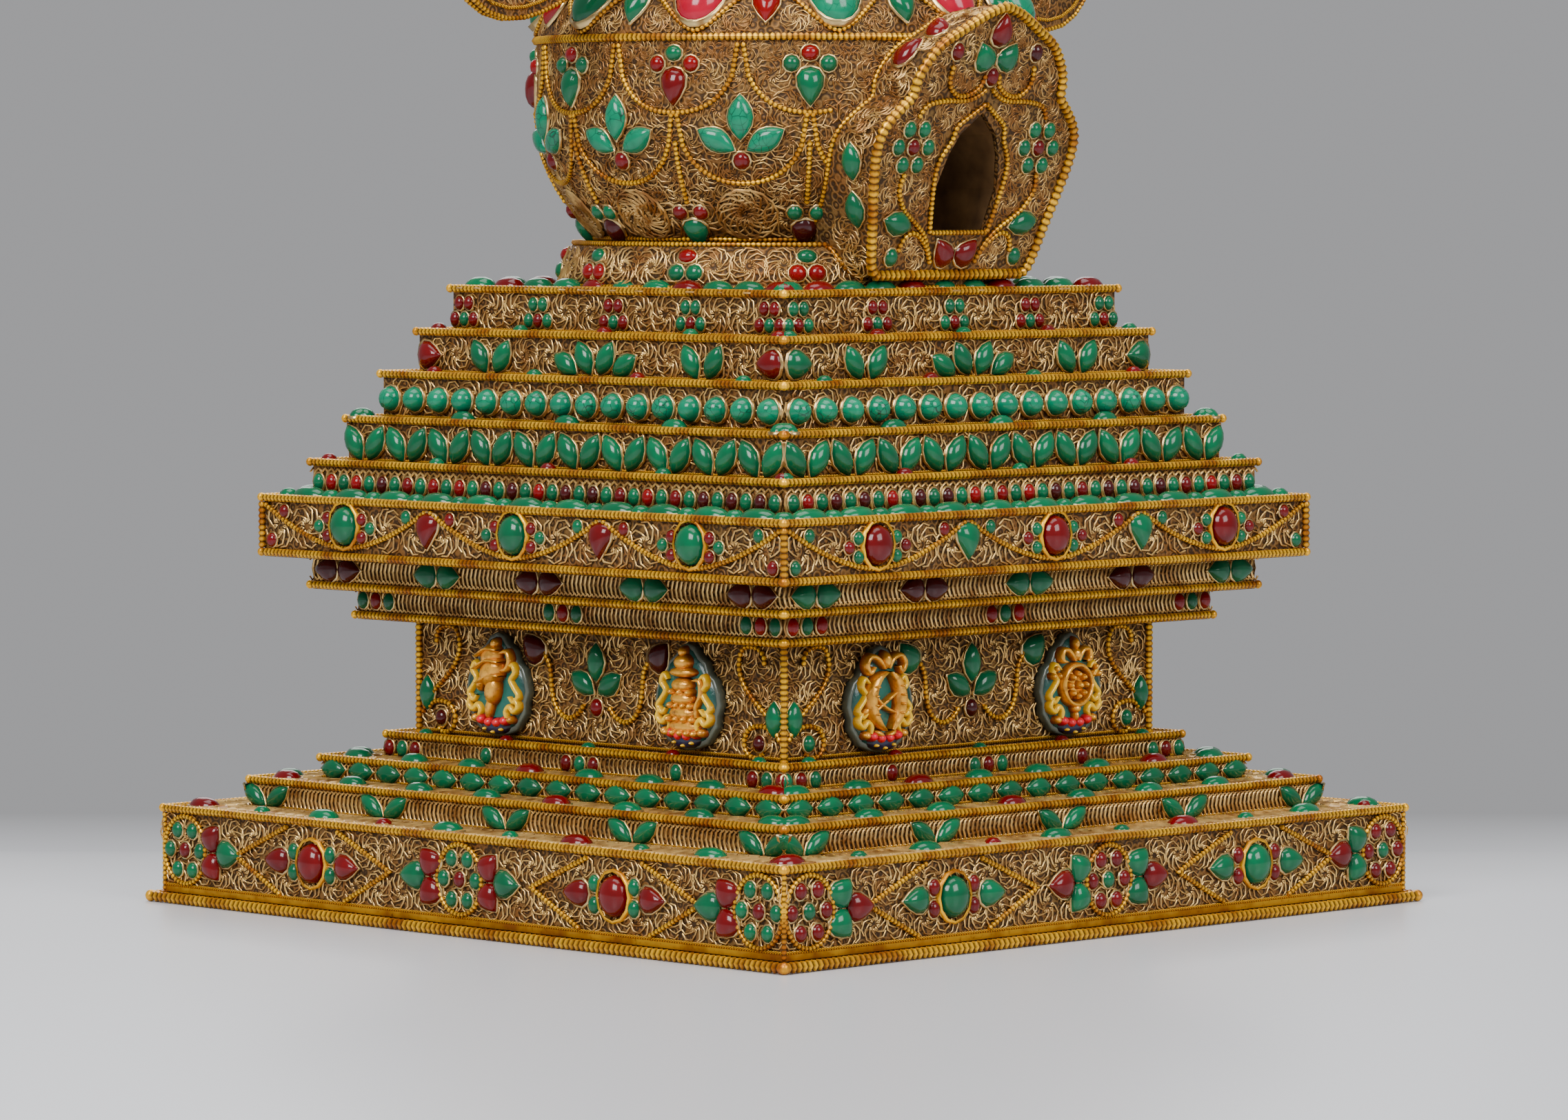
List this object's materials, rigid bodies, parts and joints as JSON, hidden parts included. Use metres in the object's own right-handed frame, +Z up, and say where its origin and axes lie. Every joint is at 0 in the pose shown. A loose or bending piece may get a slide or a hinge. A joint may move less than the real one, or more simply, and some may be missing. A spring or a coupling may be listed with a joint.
{
  "type": "stupa",
  "caption": "Square stepped filigree stupa: plinth, throne with plaques, tiers, domed body with a hollow shrine, ringed spire.",
  "frame": {"origin": "centre of the underside of the plinth", "axes": "+Z up the spire, -Y out of the shrine's door (the front), +X to the right of someone facing the front"},
  "size_m": [0.25, 0.25, 0.4488],
  "materials": {
    "filigree_sheet": "antique filigree brass sheet with soldered scrolls",
    "gilt_wire": "gilt coiled wire, satin",
    "jade_stone": "polished cabochon",
    "turquoise_stone": "polished cabochon",
    "coral_stone": "polished cabochon",
    "ruby_stone": "polished translucent cabochon",
    "painted_plaque": "gloss paint in several colours on a cast plaque"
  },
  "bodies": {
    "root": {"cornice_lower": "filigree_sheet", "cornice_upper": "filigree_sheet", "crescent": "gilt_wire", "dome": "filigree_sheet", "dome_foot": "filigree_sheet", "harmika": "filigree_sheet", "jewel": "gilt_wire", "parasol": "filigree_sheet", "plaque_banner": "painted_plaque", "plaque_conch": "painted_plaque", "plaque_fish": "painted_plaque", "plaque_knot": "painted_plaque", "plaque_lotus": "painted_plaque", "plaque_parasol": "painted_plaque", "plaque_vase": "painted_plaque", "plaque_wheel": "painted_plaque", "plinth": "filigree_sheet", "shoulder_stone_01": "turquoise_stone", "shoulder_stone_02": "coral_stone", "shoulder_stone_03": "jade_stone", "shoulder_stone_04": "turquoise_stone", "shoulder_stone_05": "coral_stone", "shoulder_stone_06": "jade_stone", "shoulder_stone_07": "turquoise_stone", "shoulder_stone_08": "coral_stone", "shoulder_stone_09": "jade_stone", "shoulder_stone_10": "turquoise_stone", "shoulder_stone_11": "coral_stone", "shrine": "filigree_sheet", "slab_stone_1_1": "coral_stone", "slab_stone_1_2": "coral_stone", "slab_stone_1_3": "coral_stone", "slab_stone_2_1": "jade_stone", "slab_stone_2_2": "jade_stone", "slab_stone_2_3": "jade_stone", "slab_stone_3_1": "coral_stone", "slab_stone_3_2": "coral_stone", "slab_stone_3_3": "coral_stone", "slab_stone_4_1": "jade_stone", "slab_stone_4_2": "jade_stone", "slab_stone_4_3": "jade_stone", "spire": "filigree_sheet", "step_1": "filigree_sheet", "step_2": "filigree_sheet", "step_3": "filigree_sheet", "streamer_left": "filigree_sheet", "streamer_right": "filigree_sheet", "sun_disc": "coral_stone", "table_slab": "filigree_sheet", "throne": "filigree_sheet", "tier_1": "filigree_sheet", "tier_2": "filigree_sheet", "tier_3": "filigree_sheet", "tier_4": "filigree_sheet", "tier_5": "filigree_sheet"}
  },
  "joints": []
}
